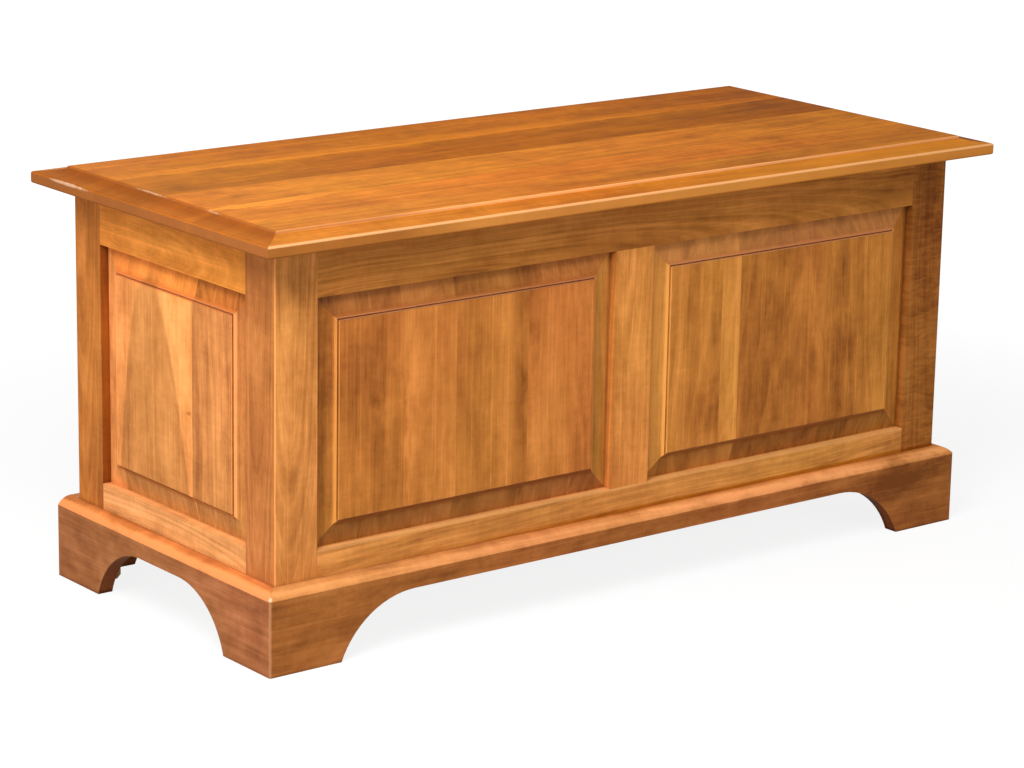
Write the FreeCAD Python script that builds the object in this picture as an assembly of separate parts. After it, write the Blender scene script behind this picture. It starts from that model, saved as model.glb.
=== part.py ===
import FreeCAD, Part
import math
import os

# Blanket chest: a frame-and-panel carcase on a bracket base, under a moulded lid on three torsion hinges.
# Millimetres. X runs along the front to the right, Y to the back, Z up. The origin is on the floor, under
# the middle of the lid. Each piece is its own solid in its own STEP file in parts/.

# ---- Overall form
body_width = 1135.0            # outside of the corner stiles
body_depth = 466.0
overall_height = 561.0         # floor to lid top

# ---- Lid
lid_thickness = 25.0
lid_overhang_front = 48.0
lid_overhang_side = 42.0
lid_overhang_back = 38.0
lid_gap = 2.3                  # rim to lid, filled by the bumpers and the hinge leaves
lid_joint_pitches = (92.0, 88.0, 104.0, 114.0)   # board widths from the front; the last board takes the rest
moulding_width = 34.5          # lid edge to the raised field
moulding_step = 3.6            # upright step round the field
moulding_drop = 9.0            # lid top to the outer end of the cove
moulding_sag = 1.0             # hollow of the cove
lid_arris = 3.0                # rounding of the lid's outer arrises
step_arris = 1.8               # rounding of the edge of its raised field
batten_width = 45.0
batten_thickness = 18.0
batten_spread = 300.0          # lid centre line to each batten's centre line
batten_clearance = 12.0        # batten end to the carcase's inner face
batten_chamfer = 9.0
bumper_diameter = 10.0
bumper_inset = 30.0            # carcase side to the bumper's centre

# ---- Carcase frames
frame_thickness = 25.0
stile_width = 63.5
top_rail_width = 66.5
bottom_rail_width = 64.5
corner_ease = 3.0              # rounding of the upright outside corners
groove_offset = 12.5           # frame face to panel groove
groove_width = 6.0
groove_depth = 10.0
tenon_gap = 0.5                # tenon end to the bottom of its groove

# ---- Panels
panel_slip = 0.1               # each face of a panel's tongue to the groove
panel_gap = 1.0                # room for the panel to swell across the frame
bevel_width = 33.0             # frame edge to the raised field
tongue_show = 1.0              # flat of the tongue seen inside the frame
hollow_start = 12.0            # degrees from the panel's plane, where the bevel turns up into its hollow
hollow_end = 50.0              # degrees, at the hollow's crest
hollow_radius = 12.0
hollow_flats = 4               # flats that draw the hollow
field_depth = 1.0              # frame face to the raised field
crest_drop = 2.4               # field to the crest
quirk_width = 1.6              # narrow groove between the crest and the field
quirk_drop = 3.8               # field to the bottom of the quirk
field_arris = 1.4              # rounding of the field's edge
field_arris_flats = 3          # flats that draw the rounding

# ---- Bracket base
base_height = 109.5
base_thickness = 21.5          # front and sides
base_back_thickness = 18.0
base_round_drop = 11.0         # top face to the start of the upright face
base_round_flat = 2.0          # flat left against the carcase
arch_height = 76.5
arch_cover = 3.5               # arch top to the underside of the carcase
front_foot_width = 108.0       # at the floor, from the outside corner
side_foot_width = 104.5
front_arch_radius = 122.0
side_arch_radius = 108.0
block_width = 45.0             # square glue block in each foot
block_chamfer = 14.0
block_lift = 2.0               # block to the floor

# ---- Bottom
cleat_height = 18.0
cleat_depth = 20.0
bearer_width = 60.0
bottom_thickness = 12.0
bottom_board_count = 4
bottom_gap = 1.0               # boards to the carcase all round
bottom_tongue_length = 5.0
bottom_tongue_thickness = 4.0
bottom_tongue_clearance = 0.3  # tongue end to the bottom of its groove
bottom_bevel = 1.2             # eased long edges between the boards

# ---- Hinges
hinge_length = 90.0
hinge_inset = 137.5            # carcase side to the outer hinges' centres
hinge_barrel_radius = 8.0
hinge_barrel_gap = 1.0         # barrel to the carcase's back face
hinge_leaf_thickness = 2.0
hinge_leaf_drop = 38.0         # inner flange of the body leaf, below the rim
hinge_lid_reach = 54.0         # lid leaf, forward of the hinge axis
hinge_knuckle_length = 21.0    # each of the body leaf's two; the lid leaf's fills the rest
hinge_knuckle_gap = 0.3
flange_screw_drop = 23.0       # rim to the screws of the inner flange
lid_screw_rows = ((43.0, 30.0), (19.0, 22.5))    # forward of the hinge axis, and to each side of the middle
leaf_screw_spread = 30.0
pin_radius = 4.0
pin_clearance = 0.05           # running fit of the pin
pin_end_show = 1.0             # pin end past the barrel
sleeve_wall = 2.0

# ---- Screws: head diameter, shank diameter, length
hinge_screw = (7.0, 3.5, 17.0)
batten_screw = (8.0, 4.0, 33.0)
screw_sides = 8                # screws are small, so their round faces are drawn with flats
batten_screws_each = 4

# ---- Making
cut_past = 1.0                 # how far a shape that cuts runs past what it cuts

# ---- Places worked out from the sizes above
lid_width = body_width + 2 * lid_overhang_side
lid_depth = body_depth + lid_overhang_front + lid_overhang_back
lid_front_y = -lid_depth / 2
lid_bottom_z = overall_height - lid_thickness
rim_z = lid_bottom_z - lid_gap
half_width = body_width / 2
front_y = lid_front_y + lid_overhang_front
back_y = front_y + body_depth
inner_front_y = front_y + frame_thickness
inner_back_y = back_y - frame_thickness
inner_half_width = half_width - frame_thickness
carcase_floor_z = arch_height + arch_cover
opening_low_z = carcase_floor_z + bottom_rail_width
opening_high_z = rim_z - top_rail_width
cleat_top_z = carcase_floor_z + cleat_height
bottom_top_z = cleat_top_z + bottom_thickness
hinge_y = back_y + hinge_barrel_gap + hinge_barrel_radius
hinge_z = rim_z + hinge_leaf_thickness - hinge_barrel_radius

vec = FreeCAD.Vector
ORIGIN = vec(0, 0, 0)
ALONG = vec(1, 0, 0)
INWARD = vec(0, 1, 0)
UP = vec(0, 0, 1)

# A wall's pieces are made lying along X from the origin, outer face on Y = 0 and inward along +Y, and are
# then turned to their side of the carcase: length, corner x, corner y, turn, name of near end, name of far end.
WALLS = {
    "front": (body_width, -half_width, front_y, 0, "left", "right"),
    "right": (body_depth, half_width, front_y, 90, "front", "back"),
    "back": (body_width, half_width, back_y, 180, "right", "left"),
    "left": (body_depth, -half_width, back_y, -90, "back", "front"),
}

pieces = {}


# ---- Shape helpers

def box(x0, x1, y0, y1, z0, z1):
    return Part.makeBox(x1 - x0, y1 - y0, z1 - z0, vec(x0, y0, z0))


def outline(points):
    """A flat face with straight edges."""
    return Part.Face(Part.makePolygon(points + points[:1]))


def tapered(near, far):
    """A solid with flat sides between two outlines, each a list of as many corners."""
    sides = [outline([near[number - 1], near[number], far[number], far[number - 1]]) for number in range(len(near))]
    return Part.Solid(Part.Shell([outline(near), outline(far)] + sides))


def arc(start, middle, end):
    return Part.Arc(start, middle, end).toShape()


def line(start, end):
    return Part.makeLine(start, end)


def joined(shapes):
    """One solid from shapes that overlap or touch."""
    return shapes[0].fuse(shapes[1:]).removeSplitter()


def mirrored(shape, length):
    """The far-end twin of a piece made at a wall's near end."""
    return shape.mirror(vec(length / 2, 0, 0), ALONG)


def stand(shape, wall):
    """Takes a piece from its wall's own frame to its side of the carcase."""
    _, corner_x, corner_y, turn, _, _ = WALLS[wall]
    placed = shape.copy()
    placed.rotate(ORIGIN, UP, turn)
    placed.translate(vec(corner_x, corner_y, 0))
    return placed


def ease_corner(shape, corner):
    """Rounds a wall piece's upright outside corner at (corner, corner), where two pieces meet in a mitre."""
    centre = vec(corner + corner_ease, corner + corner_ease, 0)
    waste = box(corner - cut_past, centre.x, corner - cut_past, centre.y, 0, overall_height)
    waste = waste.cut(Part.makeCylinder(corner_ease, overall_height, centre))
    return shape.cut(waste)


# ---- Screws

def ring(radius, z):
    """The corners of a level polygon round the Z axis."""
    turns = [2 * math.pi * number / screw_sides for number in range(screw_sides)]
    return [vec(radius * math.cos(turn), radius * math.sin(turn), z) for turn in turns]


def wood_screw(size):
    """A countersunk screw: head face on Z = 0, shank downward."""
    head_diameter, shank_diameter, length = size
    head, shank = head_diameter / 2, shank_diameter / 2
    neck_z = shank - head
    return joined([tapered(ring(head, 0), ring(shank, neck_z)), tapered(ring(shank, neck_z), ring(shank, -length))])


def driven(size, place, direction):
    """A screw with its head at place, driven along direction."""
    screw = wood_screw(size)
    screw.Placement = FreeCAD.Placement(place, FreeCAD.Rotation(-UP, direction))
    return screw


def drive(node, screws, into):
    """Adds the screws as one node and cuts their holes in every piece that they pass through."""
    for name in into:
        pieces[name] = pieces[name].cut(screws)
    pieces[node] = Part.makeCompound(screws)


# ---- Carcase frames

def panel_groove(x0, x1, z0, z1):
    return box(x0, x1, groove_offset, groove_offset + groove_width, z0, z1)


def corner_stile():
    """The near stile of a wall: outer edge mitred, inner edge grooved."""
    plan = outline([vec(0, 0, 0), vec(stile_width, 0, 0), vec(stile_width, frame_thickness, 0),
                    vec(frame_thickness, frame_thickness, 0)])
    stile = plan.extrude(UP * (rim_z - carcase_floor_z))
    stile.translate(UP * carcase_floor_z)
    stile = ease_corner(stile, 0)
    return stile.cut(panel_groove(stile_width - groove_depth, stile_width, carcase_floor_z, rim_z))


def rail(length, low, high, groove_side):
    """A rail between the corner stiles, with stub tenons in their grooves; groove_side is 1 for the upper edge."""
    tenon = groove_depth - tenon_gap
    body = box(stile_width, length - stile_width, 0, frame_thickness, low, high)
    tongue = panel_groove(stile_width - tenon, length - stile_width + tenon, low, high)
    groove_low = high - groove_depth if groove_side > 0 else low
    groove = panel_groove(0, length, groove_low, groove_low + groove_depth)
    return joined([body, tongue]).cut(groove)


def centre_stile(length):
    """A stile between the rails, grooved on both edges, with stub tenons in the rails' grooves."""
    tenon = groove_depth - tenon_gap
    near, far = (length - stile_width) / 2, (length + stile_width) / 2
    body = box(near, far, 0, frame_thickness, opening_low_z, opening_high_z)
    low, high = opening_low_z - tenon, opening_high_z + tenon
    tongue = panel_groove(near, far, low, high)
    grooves = panel_groove(near, near + groove_depth, low, high).fuse(
        panel_groove(far - groove_depth, far, low, high))
    return joined([body, tongue]).cut(grooves)


def rectangle(x0, x1, inset, depth):
    """The corners of the opening from x0 to x1, drawn in by inset, at a depth behind the wall's face."""
    x0, x1, z0, z1 = x0 + inset, x1 - inset, opening_low_z + inset, opening_high_z - inset
    return [vec(x0, depth, z0), vec(x1, depth, z0), vec(x1, depth, z1), vec(x0, depth, z1)]


def flat_panel(x0, x1):
    """A thin panel that floats in the grooves round the opening from x0 to x1 and stands on the lowest one."""
    side_reach = groove_depth - panel_gap
    return box(x0 - side_reach, x1 + side_reach,
               groove_offset + panel_slip, groove_offset + groove_width - panel_slip,
               opening_low_z - groove_depth, opening_high_z + groove_depth - panel_gap)


def stacked(loops):
    """The solids between each loop of corners and the next."""
    return [tapered(near, far) for near, far in zip(loops, loops[1:])]


def raised_panel(x0, x1):
    """A panel whose four-sided bevel turns up in a hollow, with a quirk between its crest and a raised field."""
    slope = [rectangle(x0, x1, tongue_show, groove_offset + panel_slip)]
    steepest = math.radians(hollow_end)
    for number in range(hollow_flats + 1):
        turn = math.radians(hollow_start + (hollow_end - hollow_start) * number / hollow_flats)
        inset = bevel_width - quirk_width - hollow_radius * (math.sin(steepest) - math.sin(turn))
        depth = field_depth + crest_drop + hollow_radius * (math.cos(turn) - math.cos(steepest))
        slope.append(rectangle(x0, x1, inset, depth))
    field = [rectangle(x0, x1, bevel_width, field_depth + quirk_drop)]
    for number in range(field_arris_flats + 1):
        turn = math.pi / 2 * number / field_arris_flats
        inset = field_arris * (1 - math.cos(turn))
        depth = field_arris * (1 - math.sin(turn))
        field.append(rectangle(x0, x1, bevel_width + inset, field_depth + depth))
    bevelled = joined([flat_panel(x0, x1)] + stacked(slope))
    sunk = bevelled.cut(tapered(slope[-1], field[0]))
    return joined([sunk] + stacked(field))


def make_wall(wall, panel, panels):
    """The frame of one side of the carcase with one or two panels."""
    length, _, _, _, near, far = WALLS[wall]
    pieces[f"{wall}_{near}_stile"] = stand(corner_stile(), wall)
    pieces[f"{wall}_{far}_stile"] = stand(mirrored(corner_stile(), length), wall)
    pieces[f"{wall}_top_rail"] = stand(rail(length, opening_high_z, rim_z, -1), wall)
    pieces[f"{wall}_bottom_rail"] = stand(rail(length, carcase_floor_z, opening_low_z, 1), wall)
    if panels == 1:
        pieces[f"{wall}_panel"] = stand(panel(stile_width, length - stile_width), wall)
        return
    pieces[f"{wall}_centre_stile"] = stand(centre_stile(length), wall)
    near_panel = panel(stile_width, (length - stile_width) / 2)
    pieces[f"{wall}_{near}_panel"] = stand(near_panel, wall)
    pieces[f"{wall}_{far}_panel"] = stand(mirrored(near_panel, length), wall)


# ---- Bottom

def make_cleats():
    """Four cleats round the inside of the bottom rails, and a bearer across the middle."""
    for wall, (length, *_) in WALLS.items():
        inset = frame_thickness if length == body_width else frame_thickness + cleat_depth
        cleat = box(inset, length - inset, frame_thickness, frame_thickness + cleat_depth,
                    carcase_floor_z, cleat_top_z)
        pieces[f"{wall}_cleat"] = stand(cleat, wall)
    pieces["bottom_bearer"] = box(-bearer_width / 2, bearer_width / 2, inner_front_y + cleat_depth,
                                  inner_back_y - cleat_depth, carcase_floor_z, cleat_top_z)


def bottom_board(y0, y1, grooved, tongued):
    """A cedar board from y0 to y1 with its long upper edges eased, a groove in front and a tongue behind."""
    reach = inner_half_width - bottom_gap
    profile = outline([vec(-reach, y0, cleat_top_z), vec(-reach, y1, cleat_top_z),
                       vec(-reach, y1, bottom_top_z - bottom_bevel), vec(-reach, y1 - bottom_bevel, bottom_top_z),
                       vec(-reach, y0 + bottom_bevel, bottom_top_z), vec(-reach, y0, bottom_top_z - bottom_bevel)])
    board = profile.extrude(ALONG * 2 * reach)
    low = cleat_top_z + (bottom_thickness - bottom_tongue_thickness) / 2
    high = low + bottom_tongue_thickness
    if tongued:
        board = joined([board, box(-reach, reach, y1 - bottom_tongue_length, y1 + bottom_tongue_length, low, high)])
    if grooved:
        depth = bottom_tongue_length + bottom_tongue_clearance
        board = board.cut(box(-reach, reach, y0, y0 + depth, low, high))
    return board


def make_bottom():
    """Tongue-and-groove boards laid loose on the cleats, so that they can swell."""
    make_cleats()
    first_y = inner_front_y + bottom_gap
    pitch = (inner_back_y - bottom_gap - first_y) / bottom_board_count
    for number in range(bottom_board_count):
        y0 = first_y + number * pitch
        board = bottom_board(y0, y0 + pitch, number > 0, number < bottom_board_count - 1)
        pieces[f"bottom_board_{number + 1}"] = board


# ---- Bracket base

def base_moulding(x0, x1, thickness, rounded):
    """A base board before its arch: upright outer face, and a top edge that rounds over from the carcase."""
    if not rounded:
        return box(x0, x1, -thickness, 0, 0, base_height)
    spread = thickness - base_round_flat
    radius = (spread ** 2 + base_round_drop ** 2) / (2 * base_round_drop)
    half_sweep = math.asin(spread / radius) / 2
    crown = vec(x0, -base_round_flat, base_height)
    shoulder = vec(x0, -thickness, base_height - base_round_drop)
    middle = crown + vec(0, -radius * math.sin(half_sweep), radius * math.cos(half_sweep) - radius)
    toe, heel, top = vec(x0, -thickness, 0), vec(x0, 0, 0), vec(x0, 0, base_height)
    edges = [line(heel, toe), line(toe, shoulder), arc(shoulder, middle, crown), line(crown, top), line(top, heel)]
    return Part.Face(Part.Wire(edges)).extrude(ALONG * (x1 - x0))


def arch(length, foot, radius):
    """The opening between two feet: quarter sweeps up from the floor to a level top."""
    spring = foot + math.sqrt(radius ** 2 - (radius - arch_height) ** 2)
    sweep = math.acos((radius - arch_height) / radius)
    y = -base_thickness - cut_past
    points = []
    for end, side in ((0, 1), (length, -1)):
        centre = vec(end + side * spring, y, arch_height - radius)
        middle = centre + vec(-side * radius * math.sin(sweep / 2), 0, radius * math.cos(sweep / 2))
        points.append((vec(end + side * foot, y, 0), middle, vec(end + side * spring, y, arch_height)))
    (near_toe, near_middle, near_spring), (far_toe, far_middle, far_spring) = points
    edges = [arc(near_toe, near_middle, near_spring), line(near_spring, far_spring),
             arc(far_spring, far_middle, far_toe), line(far_toe, near_toe)]
    return Part.Face(Part.Wire(edges)).extrude(INWARD * (base_thickness + 2 * cut_past))


def base_plan(length, near_mitred, far_mitred):
    """The upright prism that a rounded base board is cut to: mitred, or square past the back board."""
    near = [vec(-base_thickness, -base_thickness, 0), vec(0, 0, 0)]
    far = [vec(length, 0, 0), vec(length + base_thickness, -base_thickness, 0)]
    if not near_mitred:
        near = [vec(-base_back_thickness, -base_thickness, 0), vec(-base_back_thickness, 0, 0)]
    if not far_mitred:
        far = [vec(length + base_back_thickness, 0, 0), vec(length + base_back_thickness, -base_thickness, 0)]
    return outline(near + far).extrude(UP * base_height)


def base_board(length, foot_width, radius, near_mitred, far_mitred):
    """A board of the base with a rounded top, an arch and its mitres."""
    board = base_moulding(-base_thickness, length + base_thickness, base_thickness, True)
    board = board.common(base_plan(length, near_mitred, far_mitred))
    board = board.cut(arch(length, foot_width - base_thickness, radius))
    if near_mitred:
        board = ease_corner(board, -base_thickness)
    if far_mitred:
        board = mirrored(ease_corner(mirrored(board, length), -base_thickness), length)
    return board


def make_base():
    """Four boards glued round the foot of the carcase, with a glue block in each foot."""
    front = base_board(body_width, front_foot_width, front_arch_radius, True, True)
    right = base_board(body_depth, side_foot_width, side_arch_radius, True, False)
    left = base_board(body_depth, side_foot_width, side_arch_radius, False, True)
    back = base_moulding(0, body_width, base_back_thickness, False)
    back = back.cut(arch(body_width, front_foot_width - base_thickness, front_arch_radius))
    for wall, board in (("front", front), ("right", right), ("back", back), ("left", left)):
        pieces[f"base_{wall}"] = stand(board, wall)
    block = outline([vec(0, 0, block_lift), vec(block_width, 0, block_lift),
                     vec(block_width, block_width - block_chamfer, block_lift),
                     vec(block_width - block_chamfer, block_width, block_lift), vec(0, block_width, block_lift)])
    block = block.extrude(UP * (carcase_floor_z - block_lift))
    pieces["base_corner_blocks"] = Part.makeCompound([stand(block, wall) for wall in WALLS])


# ---- Lid

def moulding_waste():
    """What the moulding takes off one edge of the lid, as a face with the edge at X = 0 and the top at Z = 0."""
    corner = math.sqrt(0.5) * lid_arris
    step_corner = (1 - math.sqrt(0.5)) * step_arris
    step_round = [vec(moulding_width + step_arris, 0, 0), vec(moulding_width + step_corner, 0, -step_corner),
                  vec(moulding_width, 0, -step_arris)]
    cove_start = vec(moulding_width, 0, -moulding_step)
    cove_end = vec(lid_arris, 0, -moulding_drop)
    cove_middle = (cove_start + cove_end) * 0.5 - UP * moulding_sag
    top_round = [cove_end, vec(lid_arris - corner, 0, corner - moulding_drop - lid_arris),
                 vec(0, 0, -moulding_drop - lid_arris)]
    low_round = [vec(0, 0, lid_arris - lid_thickness),
                 vec(lid_arris - corner, 0, lid_arris - corner - lid_thickness), vec(lid_arris, 0, -lid_thickness)]
    outside = [vec(lid_arris, 0, -lid_thickness - cut_past), vec(-cut_past, 0, -lid_thickness - cut_past),
               vec(-cut_past, 0, cut_past), vec(moulding_width + step_arris, 0, cut_past)]
    edges = [line(outside[3], step_round[0]), arc(*step_round), line(step_round[2], cove_start),
             arc(cove_start, cove_middle, cove_end), arc(*top_round),
             line(top_round[2], low_round[0]), arc(*low_round), line(low_round[2], outside[0]),
             line(outside[0], outside[1]), line(outside[1], outside[2]), line(outside[2], outside[3])]
    return Part.Face(Part.Wire(edges))


def lid_slab():
    """The whole lid, its four edges cut to one moulding that mitres at the corners."""
    slab = box(-lid_width / 2, lid_width / 2, -lid_depth / 2, lid_depth / 2, lid_bottom_z, overall_height)
    for turn, reach, run in ((0, lid_width, lid_depth), (90, lid_depth, lid_width),
                             (180, lid_width, lid_depth), (270, lid_depth, lid_width)):
        waste = moulding_waste().extrude(INWARD * (run + 2 * cut_past))
        waste.translate(vec(-reach / 2, -run / 2 - cut_past, overall_height))
        waste.rotate(ORIGIN, UP, turn)
        slab = slab.cut(waste)
    return slab


def make_lid():
    """The slab sawn into its edge-glued boards, with two battens screwed under it and bumpers on the rim."""
    slab = lid_slab()
    y0 = lid_front_y
    joints = []
    for pitch in lid_joint_pitches:
        joints.append((y0, y0 + pitch))
        y0 += pitch
    joints.append((y0, lid_depth / 2))
    boards = []
    for number, (low, high) in enumerate(joints):
        name = f"lid_board_{number + 1}"
        pieces[name] = slab.common(box(-lid_width, lid_width, low, high, 0, overall_height))
        boards.append(name)
    make_battens(boards)
    bumpers = []
    for x in (bumper_inset - half_width, half_width - bumper_inset):
        place = vec(x, front_y + frame_thickness / 2, rim_z)
        bumpers.append(Part.makeCylinder(bumper_diameter / 2, lid_gap, place))
    pieces["lid_bumpers"] = Part.makeCompound(bumpers)
    return boards


def make_battens(boards):
    """Battens across the lid's boards, chamfered under both ends."""
    y0, y1 = inner_front_y + batten_clearance, inner_back_y - batten_clearance
    low = lid_bottom_z - batten_thickness
    profile = outline([vec(0, y0, lid_bottom_z), vec(0, y0, low + batten_chamfer), vec(0, y0 + batten_chamfer, low),
                       vec(0, y1 - batten_chamfer, low), vec(0, y1, low + batten_chamfer), vec(0, y1, lid_bottom_z)])
    names, screws = [], []
    for side, x in (("left", -batten_spread), ("right", batten_spread)):
        batten = profile.extrude(ALONG * batten_width)
        batten.translate(ALONG * (x - batten_width / 2))
        names.append(f"lid_batten_{side}")
        pieces[names[-1]] = batten
        for number in range(batten_screws_each):
            y = y0 + (y1 - y0) * (number + 0.5) / batten_screws_each
            screws.append(driven(batten_screw, vec(x, y, low), UP))
    drive("batten_screws", screws, boards + names)


# ---- Hinges

def round_bar(radius, x0, x1):
    """A cylinder on the hinge axis."""
    return Part.makeCylinder(radius, x1 - x0, vec(x0, hinge_y, hinge_z), ALONG)


def body_leaf():
    """A leaf that hooks over the back rim: flange down the inner face, strap across the rim, two end knuckles."""
    half = hinge_length / 2
    inner_y = inner_back_y - hinge_leaf_thickness
    top_z = rim_z + hinge_leaf_thickness
    flange = box(-half, half, inner_y, inner_back_y, rim_z - hinge_leaf_drop, top_z)
    strap = box(-half, half, inner_y, back_y, rim_z, top_z)
    shapes = [flange, strap]
    for start in (-half, half - hinge_knuckle_length):
        end = start + hinge_knuckle_length
        shapes.append(box(start, end, inner_back_y, hinge_y, rim_z, top_z))
        shapes.append(round_bar(hinge_barrel_radius, start, end))
    return joined(shapes).cut(round_bar(pin_radius + pin_clearance, -half, half))


def lid_leaf():
    """A leaf let into the lid's underside, with the long middle knuckle hanging from its back edge."""
    half = hinge_length / 2
    knuckle_half = half - hinge_knuckle_length - hinge_knuckle_gap
    rear_y = hinge_y + hinge_barrel_radius
    leaf_top_z = lid_bottom_z + hinge_leaf_thickness
    shapes = [box(-half, half, hinge_y - hinge_lid_reach, rear_y, lid_bottom_z, leaf_top_z),
              box(-knuckle_half, knuckle_half, hinge_y, rear_y, hinge_z, leaf_top_z),
              round_bar(hinge_barrel_radius, -knuckle_half, knuckle_half)]
    bore = pin_radius + pin_clearance + sleeve_wall
    return joined(shapes).cut(round_bar(bore, -half, half))


def friction_sleeve():
    """The sleeve inside the middle knuckle, which grips the pin and holds the lid where it is left."""
    half = hinge_length / 2 - hinge_knuckle_length - hinge_knuckle_gap
    bore = pin_radius + pin_clearance
    return round_bar(bore + sleeve_wall, -half, half).cut(round_bar(bore, -half, half))


def leaf_screws(x):
    """The screws of one hinge: three through the body leaf's flange, two rows of two up through the lid leaf."""
    flange_y = inner_back_y - hinge_leaf_thickness
    body = [driven(hinge_screw, vec(x + offset, flange_y, rim_z - flange_screw_drop), INWARD)
            for offset in (-leaf_screw_spread, 0, leaf_screw_spread)]
    lid = [driven(hinge_screw, vec(x + side * spread, hinge_y - forward, lid_bottom_z), UP)
           for side in (-1, 1) for forward, spread in lid_screw_rows]
    return body, lid


def make_hinges(lid_boards):
    """Three hinges along the back, their leaves let into the lid and hooked over the back rail."""
    half = hinge_length / 2
    reach = half_width - hinge_inset
    pins, sleeves, body_screws, lid_screws = [], [], [], []
    for side, x in (("left", -reach), ("centre", 0), ("right", reach)):
        across = ALONG * x
        pieces[f"hinge_{side}_body_leaf"] = body_leaf().translated(across)
        pieces[f"hinge_{side}_lid_leaf"] = lid_leaf().translated(across)
        mortise = box(x - half, x + half, hinge_y - hinge_lid_reach, hinge_y + hinge_barrel_radius,
                      lid_bottom_z, lid_bottom_z + hinge_leaf_thickness)
        for name in lid_boards:
            pieces[name] = pieces[name].cut(mortise)
        pin_half = half + pin_end_show
        pins.append(round_bar(pin_radius, -pin_half, pin_half).translated(across))
        sleeves.append(friction_sleeve().translated(across))
        body, lid = leaf_screws(x)
        body_screws += body
        lid_screws += lid
    pieces["hinge_pins"] = Part.makeCompound(pins)
    pieces["hinge_friction_sleeves"] = Part.makeCompound(sleeves)
    leaves = [f"hinge_{side}_body_leaf" for side in ("left", "centre", "right")]
    drive("hinge_body_screws", body_screws, leaves + ["back_top_rail"])
    leaves = [f"hinge_{side}_lid_leaf" for side in ("left", "centre", "right")]
    drive("hinge_lid_screws", lid_screws, leaves + lid_boards)


# ---- The chest

make_wall("front", raised_panel, 2)
make_wall("right", raised_panel, 1)
make_wall("back", flat_panel, 2)
make_wall("left", raised_panel, 1)
make_bottom()
make_base()
make_hinges(make_lid())

os.makedirs("parts", exist_ok=True)
for name, shape in pieces.items():
    shape.exportStep(f"parts/{name}.step")
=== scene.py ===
import math
import random

import bmesh
import bpy
from mathutils import Euler, Matrix, Vector


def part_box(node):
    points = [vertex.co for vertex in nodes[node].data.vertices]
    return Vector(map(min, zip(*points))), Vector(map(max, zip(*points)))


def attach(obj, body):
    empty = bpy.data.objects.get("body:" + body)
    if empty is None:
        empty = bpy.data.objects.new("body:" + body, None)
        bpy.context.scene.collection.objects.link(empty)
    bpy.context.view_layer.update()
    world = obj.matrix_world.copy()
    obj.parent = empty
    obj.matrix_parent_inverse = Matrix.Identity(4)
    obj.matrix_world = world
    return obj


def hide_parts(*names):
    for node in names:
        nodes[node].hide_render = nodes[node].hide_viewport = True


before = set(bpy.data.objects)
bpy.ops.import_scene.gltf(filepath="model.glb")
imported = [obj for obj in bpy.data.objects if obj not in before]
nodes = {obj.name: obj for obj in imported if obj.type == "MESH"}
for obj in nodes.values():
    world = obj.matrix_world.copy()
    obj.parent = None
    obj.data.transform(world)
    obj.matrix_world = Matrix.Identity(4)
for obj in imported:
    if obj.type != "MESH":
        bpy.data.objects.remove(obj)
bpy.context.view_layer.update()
bpy.ops.object.select_all(action="DESELECT")


# ---- Camera
# A long lens at standing height, turned 38 degrees off the chest's front and looking down on the lid. It
# leans one degree, as a camera that is held by hand does.
CAMERA_PLACE = (-2.7981, -3.5255, 1.4205)
CAMERA_YAW = math.radians(38.225)
CAMERA_PITCH = math.radians(14.769)
CAMERA_ROLL = math.radians(1.046)
LENS_MM = 119.07
SENSOR_MM = 36.0
FARTHEST_SEEN = 100.0

aim = Euler((0, 0, -CAMERA_YAW)).to_matrix() @ Euler((math.pi / 2 - CAMERA_PITCH, 0, 0)).to_matrix()
aim = aim @ Euler((0, 0, CAMERA_ROLL)).to_matrix()
bpy.ops.object.camera_add(location=CAMERA_PLACE, rotation=aim.to_euler())
camera = bpy.context.object
camera.data.lens = LENS_MM
camera.data.sensor_width = SENSOR_MM
camera.data.clip_end = FARTHEST_SEEN
bpy.context.scene.camera = camera


# ---- Studio
# A pale floor that shows white to the camera and keeps a soft shadow, white all round it, and four soft
# boxes: one high on the left in front, whose light thins out along the lid, and three low ones for the walls.
WHITE = "#ffffff"
SKY = 0.36  # the light that the white surroundings throw on the chest
FLOOR_SIZE = 40.0
FLOOR_BOUNCE = "#959595"  # grey, so that less light comes up from it
FLOOR_SHADE = 0.15  # how much of the lamps' light, and so of the shadow, shows on the floor
FLOOR_GLOW = 0.86  # how white the floor is of its own beside the chest
GLOW_START = 0.8  # from here, in metres from the chest's middle, it grows whiter
GLOW_END = 2.4  # and is pure white from here on
LAMP_AIM = Vector((0, 0, 0.3))
LAMPS = {  # place, side and watts
    "high left": ((-1.5, -1.1, 1.9), 1.1, 55.0),
    "low left": ((-3.0, -0.5, 0.8), 1.6, 24.0),
    "low front": ((0.9, -3.0, 0.7), 1.6, 26.0),
    "low back": ((0.5, 3.2, 0.5), 1.6, 13.0),
}


def linear(code):
    """A colour written as sRGB hex, as the linear values that Blender's sockets take."""
    channels = [int(code[place:place + 2], 16) / 255 for place in (1, 3, 5)]
    return [c / 12.92 if c <= 0.04045 else ((c + 0.055) / 1.055) ** 2.4 for c in channels] + [1.0]


def add(tree, kind, settings=None, sockets=None):
    """Adds one node with its settings, and fills its sockets with values, nodes or another node's outputs."""
    node = tree.nodes.new(kind)
    for name, value in (settings or {}).items():
        setattr(node, name, value)
    for name, value in (sockets or {}).items():
        if isinstance(value, bpy.types.Node):
            value = value.outputs[0]
        if isinstance(value, bpy.types.NodeSocket):
            tree.links.new(value, node.inputs[name])
        else:
            node.inputs[name].default_value = value
    return node


def new_material(name):
    """A material with no nodes yet."""
    material = bpy.data.materials.new(name)
    material.use_nodes = True
    material.node_tree.nodes.clear()
    return material


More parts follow.
